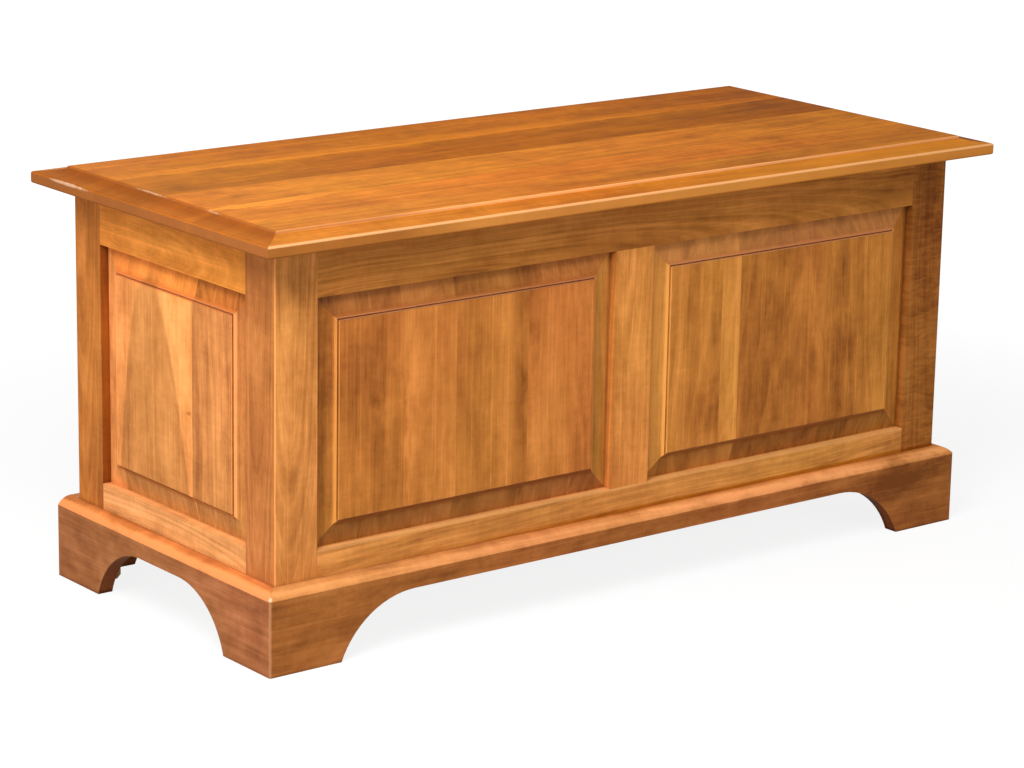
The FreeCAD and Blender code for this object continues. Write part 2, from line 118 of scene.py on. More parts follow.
def seen_directly(tree):
    """1 for what the camera sees, also by way of gloss and glass, and 0 for the light on the chest."""
    ray = add(tree, "ShaderNodeLightPath")
    mirrored = add(tree, "ShaderNodeMath", {"operation": "MAXIMUM"},
                   {0: ray.outputs["Is Glossy Ray"], 1: ray.outputs["Is Transmission Ray"]})
    return add(tree, "ShaderNodeMath", {"operation": "MAXIMUM"},
               {0: ray.outputs["Is Camera Ray"], 1: mirrored})


world = bpy.data.worlds.new("white studio")
bpy.context.scene.world = world
world.use_nodes = True
tree = world.node_tree
tree.nodes.clear()
soft = add(tree, "ShaderNodeBackground", None, {"Color": linear(WHITE), "Strength": SKY})
white = add(tree, "ShaderNodeBackground", None, {"Color": linear(WHITE), "Strength": 1.0})
sky = add(tree, "ShaderNodeMixShader", None, {0: seen_directly(tree), 1: soft, 2: white})
add(tree, "ShaderNodeOutputWorld", None, {"Surface": sky})

bpy.ops.mesh.primitive_plane_add(size=FLOOR_SIZE, location=(0, 0, 0))
floor = bpy.context.object
floor.name = "floor"
paper = new_material("matt white paper")
tree = paper.node_tree
matt = add(tree, "ShaderNodeBsdfDiffuse", None, {"Color": linear(FLOOR_BOUNCE)})
faint = add(tree, "ShaderNodeBsdfDiffuse", None, {"Color": [FLOOR_SHADE] * 3 + [1.0]})
coords = add(tree, "ShaderNodeTexCoord")
distance = add(tree, "ShaderNodeVectorMath", {"operation": "LENGTH"}, {0: coords.outputs["Object"]})
fade = add(tree, "ShaderNodeMapRange", {"interpolation_type": "SMOOTHSTEP"},
           {"Value": distance.outputs["Value"], "From Min": GLOW_START, "From Max": GLOW_END,
            "To Min": FLOOR_GLOW, "To Max": 1.0})
glow = add(tree, "ShaderNodeEmission", None, {"Color": linear(WHITE), "Strength": fade})
shown = add(tree, "ShaderNodeAddShader", None, {0: faint, 1: glow})
paper_face = add(tree, "ShaderNodeMixShader", None, {0: seen_directly(tree), 1: matt, 2: shown})
add(tree, "ShaderNodeOutputMaterial", None, {"Surface": paper_face})
floor.data.materials.append(paper)

for name, (place, side, watts) in LAMPS.items():
    bpy.ops.object.light_add(type="AREA", location=place)
    light = bpy.context.object
    light.name = name
    light.data.shape = "SQUARE"
    light.data.size = side
    light.data.energy = watts
    light.rotation_euler = (LAMP_AIM - Vector(place)).to_track_quat("-Z", "Y").to_euler()

bpy.context.scene.view_settings.view_transform = "Standard"


# ---- Lid
# Five maple boards glued edge to edge with their grain along the chest, the edge cut to a stepped and
# hollowed moulding on all four sides. Wiped with a honey-brown stain, which lies blotchy as it does on maple
# and darkens the end grain, under a satin lacquer that hardly shines.

# How often each pattern in the wood repeats in a metre, across, into and along the grain.
FIBRE = (450.0, 110.0, 14.0)  # pores 2.2 mm by 71 mm: real ones, 0.1 mm wide, are too fine to show
GLEAM = (190.0, 60.0, 2.0)  # pale lines 5 mm wide and 500 mm long
STREAK = (100.0, 40.0, 3.6)  # darker lines 10 mm wide and 280 mm long
MOTTLE = (50.0, 25.0, 24.0)  # small spots of stain, 20 mm by 42 mm
CURL = (32.0, 20.0, 130.0)  # ripples in the fibres, 31 mm wide and 8 mm apart
BLOTCH = (20.0, 12.0, 11.0)  # large spots of stain, 50 mm by 91 mm
BAND = (20.0, 10.0, 1.2)  # slow changes of tone, 50 mm by 830 mm
SWAY = (5.0, 5.0, 2.2)  # how the growth rings wander, 200 mm by 450 mm
RING = 150.0  # rings 7 mm apart: real ones are 2 to 3 mm, drawn wider so that they show
RING_WANDER = 0.03
TREE_LONG = 1000.0  # the tree is stretched this much along its grain, so that no ring closes
NOISE_SWING = (0.3, 0.7)  # nearly all of a noise's values lie between these
GLEAM_LEVELS = (0.58, 0.76)  # how high its noise is where a gleam starts and is full
GLEAM_STRENGTH = 0.2
SMUDGE_WANDER = 0.05  # how ragged the edge of a smudge is
STAVE_STEP = 17.0  # staves lie this far apart in the patterns for each whole step of tone
DARKER = (1.0, 1.22, 1.3, 0.0)  # how fast red, green, blue and alpha fall where the stain is thick
LIGHTER = (1.0, 1.2, 1.6, 0.0)  # and how fast they rise where it is thin
WARMTH = (0.4945, 0.5035)  # the hue drifts a little between red and yellow
ARRIS_HIGHLIGHT_SHARE = (0.94, 0.78)  # the largest part of a normal where the painted highlight on an arris starts and is full
SOAKED = "#c4ad9c"
GLAZE_AND_SHADE = "#7a5a30"
GLAZE_AND_SHADE_REACH = 0.008  # stain and painted shade reach this far out of an inside corner
OPENNESS = (0.2, 0.8)  # how open a place is where the gathered stain and painted shade are thickest and where they end
SATIN = (0.72, 0.88)  # roughness under the lacquer, from the darker spots to the paler ones
PORE_DEPTH = 0.0004


def wood(name, axes, code, seed, heart, spread=0.5, lean=0.05, bands=0.8, streaks=0.35, fibres=0.4, rings=0.5,
         blotches=1.0, mottle=0.4, curl=0.2, staves=(), smudges=(), soak=((0.1, 0.0), (0.6, 1.0)), glaze_and_shade=0.5,
         arris_highlight=0.8, lacquer=0.05):
    """Planed wood: fine lines along the grain, slow rings and soft blotches, pale where a face leans between
    the axes, as its rounded arrises do: a painted highlight. Its axes say which of X, Y and Z run across,
    into and along the board, and heart is the tree's middle in that order, about which the rings lie. Seed
    picks the part of the patterns that it shows. From bands to curl, each number is how strongly a pattern
    shows.
    Staves are boards glued side by side, each a left edge and a tone, and the last one only closes the row.
    Smudges are soft spots where the stain took more or less: across, along, half size across, half size
    along, strength. Soak pairs how squarely a face cuts the grain, from 0 to 1, with how much darker it is.
    Glaze darkens the inside corners by ambient occlusion, painted shade together with stain gathered there,
    and the arris highlight sets how strong the painted highlight is."""
    material = new_material(name)
    tree = material.node_tree
    coords = add(tree, "ShaderNodeTexCoord", {"name": "coords"})
    place = add(tree, "ShaderNodeSeparateXYZ", {"name": "place"}, {0: coords.outputs["Object"]})
    normal = add(tree, "ShaderNodeSeparateXYZ", {"name": "normal"}, {0: coords.outputs["Normal"]})
    across, into, along = [place.outputs[axis] for axis in axes]
    layers = []
    if staves:
        edges, tones = zip(*staves)
        width = edges[-1] - edges[0]
        share = add(tree, "ShaderNodeMapRange", None,
                    {"Value": across, "From Min": edges[0], "From Max": edges[-1]})
        stave = add(tree, "ShaderNodeValToRGB", None, {"Fac": share})
        stave.color_ramp.interpolation = "CONSTANT"
        stops = stave.color_ramp.elements
        stops[0].color = [tones[0]] * 3 + [1.0]
        stops[1].color = [tones[-2]] * 3 + [1.0]
        for edge, tone in staves[1:-1]:
            stops.new((edge - edges[0]) / width).color = [tone] * 3 + [1.0]
        along = add(tree, "ShaderNodeMath", {"operation": "MULTIPLY_ADD"},
                    {0: stave, 1: STAVE_STEP, 2: along})
        layers.append((stave, 1.0))
    board = add(tree, "ShaderNodeCombineXYZ", None, {"X": across, "Y": into, "Z": along})

    def figure(scale, detail, roughness=0.55, swirl=0.0):
        """A pattern that runs with the board's grain."""
        spot = add(tree, "ShaderNodeMapping", None, {"Vector": board, "Location": seed, "Scale": scale})
        return add(tree, "ShaderNodeTexNoise", None, {
            "Vector": spot, "Scale": 1.0, "Detail": detail, "Roughness": roughness, "Distortion": swirl})

    fibre = figure(FIBRE, 2.0, 0.55, 0.3)
    blotch = figure(BLOTCH, 5.0, 0.65)
    layers += [
        (figure(BAND, 2.0), bands),
        (figure(STREAK, 3.0, 0.6, 0.3), streaks),
        (fibre, fibres),
        (blotch, blotches),
        (figure(MOTTLE, 3.0, 0.6, 0.6), mottle),
        (figure(CURL, 2.0, 0.55, 0.8), curl),
    ]

    sway = figure(SWAY, 2.0)
    pith = add(tree, "ShaderNodeMapping", {"vector_type": "TEXTURE"},
               {"Vector": board, "Location": heart, "Rotation": (lean, 0.0, 0.0),
                "Scale": (1.0, 1.0, TREE_LONG)})
    radius = add(tree, "ShaderNodeVectorMath", {"operation": "LENGTH"}, {0: pith})
    grown = add(tree, "ShaderNodeMath", {"operation": "MULTIPLY_ADD"},
                {0: sway, 1: RING_WANDER, 2: radius.outputs["Value"]})
    ring = add(tree, "ShaderNodeTexNoise", {"noise_dimensions": "1D"},
               {"W": grown, "Scale": RING, "Detail": 3.0, "Roughness": 0.65})
    layers.append((ring, rings))

    tone = 0.5 - sum(weight for _, weight in layers) / 2
    for pattern, weight in layers:
        tone = add(tree, "ShaderNodeMath", {"operation": "MULTIPLY_ADD"}, {0: pattern, 1: weight, 2: tone})
    gleam = add(tree, "ShaderNodeMapRange", None,
                {"Value": figure(GLEAM, 1.0), "From Min": GLEAM_LEVELS[0], "From Max": GLEAM_LEVELS[1]})
    tone = add(tree, "ShaderNodeMath", {"operation": "MULTIPLY_ADD"}, {0: gleam, 1: GLEAM_STRENGTH, 2: tone})

    flat = add(tree, "ShaderNodeCombineXYZ", None, {"X": place.outputs[axes[0]], "Z": place.outputs[axes[2]]})
    ragged = add(tree, "ShaderNodeVectorMath", {"operation": "MULTIPLY_ADD"},
                 {0: blotch.outputs["Color"], 1: (SMUDGE_WANDER, 0.0, SMUDGE_WANDER), 2: flat})
    for spot_across, spot_along, half_across, half_along, strength in smudges:
        middle = (spot_across + SMUDGE_WANDER / 2, 0.0, spot_along + SMUDGE_WANDER / 2)
        spot = add(tree, "ShaderNodeMapping", {"vector_type": "TEXTURE"},
                   {"Vector": ragged, "Location": middle, "Scale": (half_across, 1.0, half_along)})
        smudge = add(tree, "ShaderNodeTexGradient", {"gradient_type": "SPHERICAL"}, {"Vector": spot})
        tone = add(tree, "ShaderNodeMath", {"operation": "MULTIPLY_ADD"},
                   {0: smudge.outputs["Fac"], 1: strength, 2: tone})

    # Faces that lean between the axes, as rounded arrises do, are lightened: a painted highlight.
    parts = [add(tree, "ShaderNodeMath", {"operation": "ABSOLUTE"}, {0: normal.outputs[axis]})
             for axis in "XYZ"]
    largest = add(tree, "ShaderNodeMath", {"operation": "MAXIMUM"}, {0: parts[0], 1: parts[1]})
    largest = add(tree, "ShaderNodeMath", {"operation": "MAXIMUM"}, {0: largest, 1: parts[2]})
    painted_arris = add(tree, "ShaderNodeMapRange", None,
                {"Value": largest, "From Min": ARRIS_HIGHLIGHT_SHARE[0], "From Max": ARRIS_HIGHLIGHT_SHARE[1], "To Max": arris_highlight})
    tone = add(tree, "ShaderNodeMath", {"operation": "ADD"}, {0: tone, 1: painted_arris})

    stain = add(tree, "ShaderNodeValToRGB", None, {"Fac": tone})
    base = linear(code)
    stops = stain.color_ramp.elements
    stops[0].color = [value * (1 - spread) ** power for value, power in zip(base, DARKER)]
    stops[1].color = [value * (1 + spread) ** power for value, power in zip(base, LIGHTER)]
    stops.new(0.5).color = base
    warmth = add(tree, "ShaderNodeMapRange", None,
                 {"Value": sway, "From Min": NOISE_SWING[0], "From Max": NOISE_SWING[1],
                  "To Min": WARMTH[0], "To Max": WARMTH[1]})
    tinted = add(tree, "ShaderNodeHueSaturation", None, {"Hue": warmth, "Color": stain})
    end_grain = add(tree, "ShaderNodeValToRGB", None, {"Fac": parts["XYZ".index(axes[2])]})
    stops = end_grain.color_ramp.elements
    for stop, (squareness, darker) in zip(stops, (soak[0], soak[-1])):
        stop.position = squareness
        stop.color = [darker] * 3 + [1.0]
    for squareness, darker in soak[1:-1]:
        stops.new(squareness).color = [darker] * 3 + [1.0]
    soaked = add(tree, "ShaderNodeMix", {"data_type": "RGBA", "blend_type": "MULTIPLY"},
                 {"Factor": end_grain, "A": tinted, "B": linear(SOAKED)})
    # Ambient occlusion darkens the inside corners: painted shade, together with the stain that gathers there.
    shelter = add(tree, "ShaderNodeAmbientOcclusion", {"samples": 6}, {"Distance": GLAZE_AND_SHADE_REACH})
    corner = add(tree, "ShaderNodeMapRange", None,
                 {"Value": shelter.outputs["AO"], "From Min": OPENNESS[0], "From Max": OPENNESS[1],
                  "To Min": glaze_and_shade, "To Max": 0.0})
    glazed_and_shaded = add(tree, "ShaderNodeMix", {"data_type": "RGBA", "blend_type": "MULTIPLY"},
                 {"Factor": corner, "A": soaked.outputs["Result"], "B": linear(GLAZE_AND_SHADE)})

    sheen = add(tree, "ShaderNodeMapRange", None, {"Value": blotch, "To Min": SATIN[0], "To Max": SATIN[1]})
    pores = add(tree, "ShaderNodeBump", None, {"Strength": 0.12, "Distance": PORE_DEPTH, "Height": fibre})
    surface = add(tree, "ShaderNodeBsdfPrincipled", {"name": "surface"},
                  {"Base Color": glazed_and_shaded.outputs["Result"], "Roughness": sheen, "IOR": 1.5,
                   "Specular IOR Level": 0.04, "Coat Weight": lacquer, "Coat Roughness": 0.25,
                   "Normal": pores})
    add(tree, "ShaderNodeOutputMaterial", None, {"Surface": surface})
    return material


def tint(material, masks, code, blend="MIX"):
    """Lays a colour over the stain where all the masks, which run from 0 to 1, say so."""
    tree = material.node_tree
    strength = masks[0]
    for mask in masks[1:]:
        strength = add(tree, "ShaderNodeMath", {"operation": "MULTIPLY"}, {0: strength, 1: mask})
    colour = tree.nodes["surface"].inputs["Base Color"]
    laid = add(tree, "ShaderNodeMix", {"data_type": "RGBA", "blend_type": blend},
               {"Factor": strength, "A": colour.links[0].from_socket, "B": linear(code)})
    tree.links.new(laid.outputs["Result"], colour)


def near_spot(tree, middle, half_sizes):
    """1 at the middle of a pale spot, falling to 0 at its edge."""
    spot = add(tree, "ShaderNodeMapping", {"vector_type": "TEXTURE"},
               {"Vector": tree.nodes["coords"].outputs["Object"], "Location": middle, "Scale": half_sizes})
    ball = add(tree, "ShaderNodeTexGradient", {"gradient_type": "SPHERICAL"}, {"Vector": spot})
    return ball.outputs["Fac"]


def finish_node(name, material):
    """Gives a piece of the chest its finish in place of the plain one it came with."""
    nodes[name].data.materials.clear()
    nodes[name].data.materials.append(material)


LID_HEART_HEIGHT = 0.49  # the trees' middles lie under the slab
LID_SOAK = ((0.04, 0.0), (0.2, 1.0), (0.5, 1.0), (0.9, 0.5))
LID_BOARDS = {  # colour, seed and smudges
    "lid_board_1": ("#bf6f1c", (1.1, 0.3, 5.0), [
        (-0.21, 0.05, 0.02, 0.25, -0.15), (-0.20, -0.5, 0.06, 0.2, -0.12)]),
    "lid_board_2": ("#cb741f", (7.1, 2.3, 1.0), [
        (-0.165, -0.05, 0.02, 0.06, -0.25), (-0.17, -0.30, 0.01, 0.03, -0.2),
        (-0.115, 0.34, 0.035, 0.03, -0.3), (-0.10, -0.50, 0.010, 0.18, 0.7),
        (-0.14, -0.5, 0.07, 0.2, -0.15)]),
    "lid_board_3": ("#cc7820", (3.7, 9.3, 4.0), [
        (-0.08, 0.45, 0.03, 0.08, -0.15), (-0.094, -0.50, 0.010, 0.18, 0.7), (-0.04, -0.5, 0.08, 0.2, -0.2)]),
    "lid_board_4": ("#b2630d", (5.1, 6.3, 8.0), [
        (0.045, -0.53, 0.04, 0.05, -0.3), (0.05, 0.35, 0.03, 0.12, -0.15), (0.06, 0.55, 0.12, 0.3, -0.35),
        (0.122, 0.0, 0.008, 1.2, 0.5)]),
    "lid_board_5": ("#c56f16", (2.1, 4.3, 2.0), [
        (0.135, 0.0, 0.02, 0.8, 0.25), (0.16, 0.25, 0.03, 0.15, -0.2), (0.20, -0.45, 0.04, 0.1, 0.15),
        (0.18, 0.55, 0.12, 0.35, -0.5), (0.123, 0.0, 0.008, 1.2, 0.5)]),
}
STEP_LOW = 0.5567  # height of the foot of the moulding's upright step
STEP_FADE = 0.0006
EDGE_TOP = 0.549  # height of the top of the square edge
RIM_FADE = 0.0003
RIM_WIDTH = 0.0033  # painted highlight band above the square edge
LID_MASKS = {  # what is measured, where the mask starts, where it is full, its full strength
    "left half": ("along", -0.1, -0.45, 1.0),
    "right half": ("along", 0.1, 0.45, 1.0),
    "left end": ("along", -0.3, -0.42, 1.0),
    "right end": ("along", 0.1, 0.4, 1.0),
    "brighter to the right": ("along", -0.1, 0.3, 0.42),
    "above the step": ("height", STEP_LOW, STEP_LOW + STEP_FADE, 1.0),
    "over the edge": ("height", EDGE_TOP - RIM_FADE, EDGE_TOP + RIM_FADE, 1.0),
    "under the cove": ("height", EDGE_TOP + RIM_WIDTH + RIM_FADE, EDGE_TOP + RIM_WIDTH - RIM_FADE, 1.0),
    "faces left": ("rightward", -0.04, -0.1, 0.5),
    "faces right": ("rightward", 0.04, 0.12, 1.0),
    "squarely right": ("rightward", 0.5, 0.8, 1.0),
    "underside": ("upward", -0.5, -0.9, 0.5),
    "long moulding": ("sideways", 0.04, 0.1, 1.0),
    "steep": ("sideways", 0.2, 0.5, 0.6),
    "painted_arris": ("sideways", 0.15, 0.35, 0.6),
    "square edge": ("sideways", 0.85, 0.97, 0.5),
    "sawn end": ("endways", 0.85, 0.97, 0.6),
}
LID_LESS = {  # one mask less another
    "right cove": ("faces right", "squarely right"),
    "long cove": ("long moulding", "above the step"),
    "below the step": ("everywhere", "above the step"),
}
LID_TINTS = [  # from the first laid to the last
    # The left half is lifted a little in green and blue, and the right half loses some blue: a painted sheen,
    # stronger towards the high lamp on the left.
    (["left half"], "#002519", "SCREEN"),
    (["right half"], "#ffffe4", "MULTIPLY"),
    (["faces left"], "#914908", "MIX"),
    (["right cove"], "#b4a290", "MULTIPLY"),
    # Steep faces above the step's foot are lightened: a painted highlight on the step.
    (["above the step", "steep"], "#f2b67c", "MIX"),
    (["long cove"], "#eeedea", "MULTIPLY"),
    (["long cove", "brighter to the right"], "#f09830", "MIX"),
    (["square edge", "below the step"], "#cd8e48", "MIX"),
    (["steep", "left end"], "#ad9272", "MULTIPLY"),
    (["steep", "right end"], "#e9deda", "MULTIPLY"),
    (["sawn end"], "#9c6036", "MIX"),
    (["underside"], "#b98450", "MIX"),
    # A narrow band over the top of the square edge, on its rounding, is lightened: a painted highlight.
    (["over the edge", "under the cove", "painted_arris"], "#f0b67e", "MIX"),
]
GLINT_SPOTS = [  # middle and half length of the pale specks, a painted highlight, on the left end's arrises
    ((-0.578, 0.036, 0.5605), 0.075),
    ((-0.578, -0.105, 0.5605), 0.03),
    ((-0.6095, 0.182, 0.5495), 0.07),
]
GLINT_ACROSS = 0.006
GLINT_DEEP = 0.003
GLINT_PATCHES = 160.0  # in a metre: the painted highlight shows in patches 6 mm wide
GLINT_LEVELS = (0.10, 0.26)  # how strong a spot is where the painted highlight starts and is full
for name, (code, seed, smudges) in LID_BOARDS.items():
    heart = (seed[0] / 10 - 0.4, LID_HEART_HEIGHT, 0.0)
    board = wood("stained maple " + name, "YZX", code, seed, heart, spread=0.4, streaks=0.5, fibres=0.6,
                 mottle=0.6, curl=0.3, smudges=smudges, soak=LID_SOAK, glaze_and_shade=0.0, lacquer=0.03)
    tree = board.node_tree
    place = tree.nodes["place"]
    normal = tree.nodes["normal"]
    measures = {
        "along": place.outputs["X"],
        "height": place.outputs["Z"],
        "rightward": normal.outputs["X"],
        "upward": normal.outputs["Z"],
        "sideways": add(tree, "ShaderNodeMath", {"operation": "ABSOLUTE"}, {0: normal.outputs["Y"]}),
        "endways": add(tree, "ShaderNodeMath", {"operation": "ABSOLUTE"}, {0: normal.outputs["X"]}),
    }
    masks = {"everywhere": 1.0}
    for mask, (measure, start, full, strength) in LID_MASKS.items():
        masks[mask] = add(tree, "ShaderNodeMapRange", None, {
            "Value": measures[measure], "From Min": start, "From Max": full, "To Max": strength})
    for mask, (whole, less) in LID_LESS.items():
        masks[mask] = add(tree, "ShaderNodeMath", {"operation": "SUBTRACT"},
                          {0: masks[whole], 1: masks[less]})
    for names, code, blend in LID_TINTS:
        tint(board, [masks[mask] for mask in names], code, blend)

    # Pale patchy specks along the left end's arrises: painted highlights.
    spots = [near_spot(tree, middle, (GLINT_ACROSS, half_length, GLINT_DEEP))
             for middle, half_length in GLINT_SPOTS]
    pale_marks = spots[0]
    for spot in spots[1:]:
        pale_marks = add(tree, "ShaderNodeMath", {"operation": "ADD"}, {0: pale_marks, 1: spot})
    patchy = add(tree, "ShaderNodeTexNoise", None,
                 {"Vector": tree.nodes["coords"].outputs["Object"], "Scale": GLINT_PATCHES, "Detail": 2.0})
    pale_marks = add(tree, "ShaderNodeMath", {"operation": "MULTIPLY"}, {0: pale_marks, 1: patchy})
    glint = add(tree, "ShaderNodeMapRange", None,
               {"Value": pale_marks, "From Min": GLINT_LEVELS[0], "From Max": GLINT_LEVELS[1], "To Max": 0.7})
    tint(board, [glint], "#dcb490")
    finish_node(name, board)


# ---- Frames
# Stiles and rails of the same maple, mortised together with mitred corner stiles, stained and lacquered like
# the lid. Their flat-sawn faces differ from stick to stick, and some show the arches of the growth rings.
FRAME = {  # colour, the tree's middle, how much the rings lean, smudges
    "front_left_stile": ("#c57e3d", (-0.545, -0.20, 0.30), 0.10, [
        (-0.54, 0.485, 0.035, 0.03, -0.3), (-0.55, 0.42, 0.02, 0.05, 0.12),
        (-0.528, 0.343, 0.02, 0.02, -0.2)]),
    "front_right_stile": ("#915821", (0.56, -0.20, 0.10), 0.06, [
        (0.53, 0.45, 0.06, 0.15, -0.35), (0.53, 0.20, 0.06, 0.15, 0.3)]),
    "front_centre_stile": ("#ce833c", (-0.02, -0.19, 0.30), 0.05, []),
    "front_top_rail": ("#af6c2d", (0.468, -0.228, -0.36), 0.06, [
        (0.475, -0.46, 0.03, 0.12, 0.2), (0.5, 0.46, 0.04, 0.08, -0.3), (0.50, -0.11, 0.03, 0.05, -0.25)]),
    "front_bottom_rail": ("#c6843e", (0.09, -0.20, 0.30), 0.05, [(0.125, 0.48, 0.03, 0.05, -0.25)]),
    "left_front_stile": ("#b77038", (-0.19, -0.54, 0.2), 0.08, []),
    "left_back_stile": ("#bc7131", (0.22, -0.54, 0.3), 0.08, [(0.20, 0.15, 0.05, 0.1, -0.1)]),
    "left_top_rail": ("#d78334", (0.485, -0.5675, 0.09), 0.22, [(0.485, 0.09, 0.02, 0.04, 0.2)]),
    "left_bottom_rail": ("#e49b5b", (0.10, -0.5675, 0.02), 0.15, []),
}
STICK_SEED = (1.37, 0.71, 2.9)  # how far on in the patterns each stick is than the one before
PLAIN_STICK = "#bf7a40"  # the sticks of the other walls, whose tree's middle lies behind them
HEART_ASIDE = 0.012
HEART_BEHIND = 0.05
PLAIN_LEAN = 0.06
RINGS = {"front_top_rail": 1.2, "left_top_rail": 0.5}
PLAIN_RINGS = 0.8
RIPPLED = {"front_right_stile": 1.1}
PLAIN_RIPPLE = 0.2
BASE_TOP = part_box("base_front")[1][2]
RAIL_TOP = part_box("front_bottom_rail")[1][2]
SHADE_AND_STAIN_LINE = (BASE_TOP + 0.006, BASE_TOP + 0.003)  # heights where the painted shade and gathered stain start and are full
SHADE_AND_STAIN_RUN = (-0.45, -0.05)  # and the same along the chest
RAIL_HIGHLIGHT_LINE = (RAIL_TOP - 0.0030, RAIL_TOP - 0.0015)  # the same for the painted highlight on the rail's top arris
SHADED_EDGE_FACING = (-0.5, -0.9)


def frame_axes(name, grain):
    """Across, into and along a piece of a wall that faces X or Y, for grain that runs along it or up it."""
    facing = "Y" if name.startswith(("front", "back")) else "X"
    level = "X" if facing == "Y" else "Y"
    return (level + facing + "Z") if grain == "Z" else ("Z" + facing + level)


def middle_along(name, axes):
    """A piece's middle, across, into and along its grain."""
    low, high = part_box(name)
    return [((low + high) / 2)["XYZ".index(axis)] for axis in axes]


def shade_and_stain_line(material, axis, reach, code):
    """A darker line in the corner where the front wall meets its base, stronger towards the right: painted
    shade, with stain gathered there.
    """
    tree = material.node_tree
    place = tree.nodes["place"]
    near = add(tree, "ShaderNodeMapRange", None,
               {"Value": place.outputs[axis], "From Min": reach[0], "From Max": reach[1]})
    rightwards = add(tree, "ShaderNodeMapRange", None,
                     {"Value": place.outputs["X"], "From Min": SHADE_AND_STAIN_RUN[0], "From Max": SHADE_AND_STAIN_RUN[1]})
    tint(material, [near, rightwards], code, "MULTIPLY")


sticks = sorted(name for name in nodes if name.endswith(("_stile", "_rail")))
for number, name in enumerate(sticks):
    axes = frame_axes(name, "Z" if name.endswith("_stile") else "XY")
    across, into, along = middle_along(name, axes)
    behind = -HEART_BEHIND if name.startswith(("back", "right")) else HEART_BEHIND
    plain = (PLAIN_STICK, (across + HEART_ASIDE, into + behind, along), PLAIN_LEAN, [])
    code, heart, lean, smudges = FRAME.get(name, plain)
    seed = [number * step for step in STICK_SEED]
    stick = wood("stained maple " + name, axes, code, seed, heart, lean=lean, smudges=smudges,
                 rings=RINGS.get(name, PLAIN_RINGS), curl=RIPPLED.get(name, PLAIN_RIPPLE))
    tree = stick.node_tree
    # The back stiles' edge that faces forward into the panel's recess is darkened: painted shade.
    if name.endswith("back_stile"):
        shaded_edge = add(tree, "ShaderNodeMapRange", None,
                          {"Value": tree.nodes["normal"].outputs["Y"], "From Min": SHADED_EDGE_FACING[0],
                           "From Max": SHADED_EDGE_FACING[1]})
        tint(stick, [shaded_edge], "#c9b79c", "MULTIPLY")
    # The rail's top arris is lightened: a painted highlight.
    if name == "front_bottom_rail":
        rail_highlight = add(tree, "ShaderNodeMapRange", None,
                          {"Value": tree.nodes["place"].outputs["Z"], "From Min": RAIL_HIGHLIGHT_LINE[0],
                           "From Max": RAIL_HIGHLIGHT_LINE[1], "To Max": 0.45})
        tint(stick, [rail_highlight], "#eaae6e")
    # A darker line just above the base: painted shade with gathered stain.
    if name in ("front_bottom_rail", "front_right_stile"):
        shade_and_stain_line(stick, "Z", SHADE_AND_STAIN_LINE, "#e4c774")
    finish_node(name, stick)


# ---- Panels
# Maple staves glued side by side, stained like the frames and set loose in their grooves. The front and side
# ones are raised: their bevels cut across the grain above and below and are darker there. The left one shows
# the arch of its heartwood between two pale sides of sapwood.
STAVE_JOINT = -0.042  # depth of the left panel's joint
PANELS = {  # colour, staves and smudges
    "front_left_panel": ("#bb7131", [
        (-0.514, 0.43), (-0.372, 0.58), (-0.290, 0.49), (-0.174, 0.55), (-0.022, 0.0)], [
        (-0.435, 0.36, 0.05, 0.12, -0.3), (-0.413, 0.322, 0.02, 0.014, -0.25),
        (-0.345, 0.36, 0.035, 0.06, 0.2), (-0.345, 0.27, 0.04, 0.08, 0.15), (-0.188, 0.30, 0.02, 0.25, -0.3),
        (-0.155, 0.22, 0.02, 0.12, 0.15), (-0.085, 0.24, 0.03, 0.12, -0.15), (-0.50, 0.3, 0.03, 0.3, -0.4),
        (-0.366, 0.27, 0.006, 0.1, 0.3)]),
    "front_right_panel": ("#bf7933", [
        (0.022, 0.58), (0.155, 0.80), (0.187, 0.36), (0.345, 0.31), (0.513, 0.0)], [
        (0.13, 0.22, 0.05, 0.07, -0.35), (0.14, 0.36, 0.015, 0.08, -0.2), (0.09, 0.30, 0.04, 0.06, 0.15),
        (0.37, 0.29, 0.04, 0.06, -0.3), (0.24, 0.38, 0.03, 0.07, -0.2), (0.23, 0.23, 0.05, 0.08, -0.2),
        (0.38, 0.20, 0.05, 0.05, -0.2), (0.335, 0.33, 0.015, 0.15, 0.2), (0.035, 0.30, 0.02, 0.3, 0.5)]),
    "left_panel": ("#ea9c58", [(-0.174, 0.32), (STAVE_JOINT, 0.60), (0.184, 0.0)], [
        (-0.11, 0.33, 0.04, 0.25, 0.3), (0.13, 0.30, 0.06, 0.25, -0.25), (-0.036, 0.29, 0.004, 0.005, -0.4)]),
}
PANEL_SEED = (2.37, 1.71, 0.9)
PLAIN_PANEL = "#c07a3e"
PLAIN_STAVES = [(0.0, 0.47), (0.8, 0.56), (1.7, 0.45), (3.0, 0.0)]  # left edge in thirds of the width, tone
PANEL_HEART_ASIDE = 0.03
PANEL_HEART_BEHIND = 0.07
BEVEL_SLOPE = (0.06, 0.2)  # how far a face leans where its bevel's colour starts and is full
CREST_SLOPE = (0.55, 0.75)  # and the same for the crest's painted highlight
